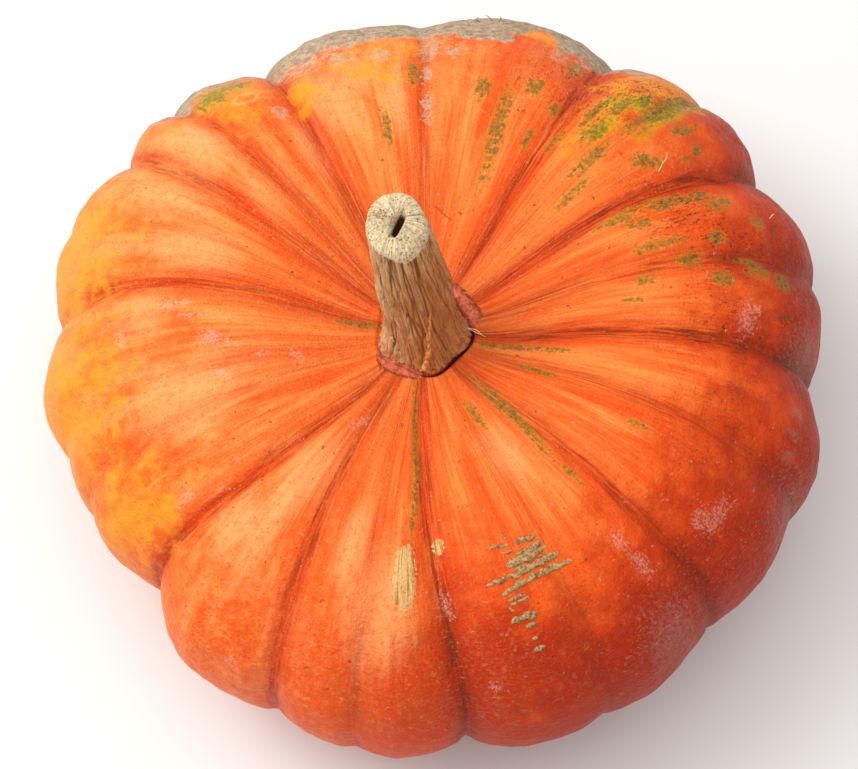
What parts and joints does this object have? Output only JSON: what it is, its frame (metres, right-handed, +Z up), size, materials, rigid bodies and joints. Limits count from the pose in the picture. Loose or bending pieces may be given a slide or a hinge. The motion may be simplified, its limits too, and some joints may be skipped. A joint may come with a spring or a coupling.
{
  "type": "ribbed pumpkin",
  "caption": "Whole, flattened, deeply ribbed orange pumpkin with a dry corky stalk, standing on the flat of its underside.",
  "frame": {"origin": "on the floor, under the middle of the outline seen from above", "axes": "+Z up along the stalk, -Y towards the side the picture was taken from, +X to its right"},
  "size_m": [0.3456, 0.3443, 0.2297],
  "materials": {
    "skin": "satin",
    "cork": "matte"
  },
  "bodies": {
    "root": {"fruit": "skin", "stem": "cork"}
  },
  "joints": []
}
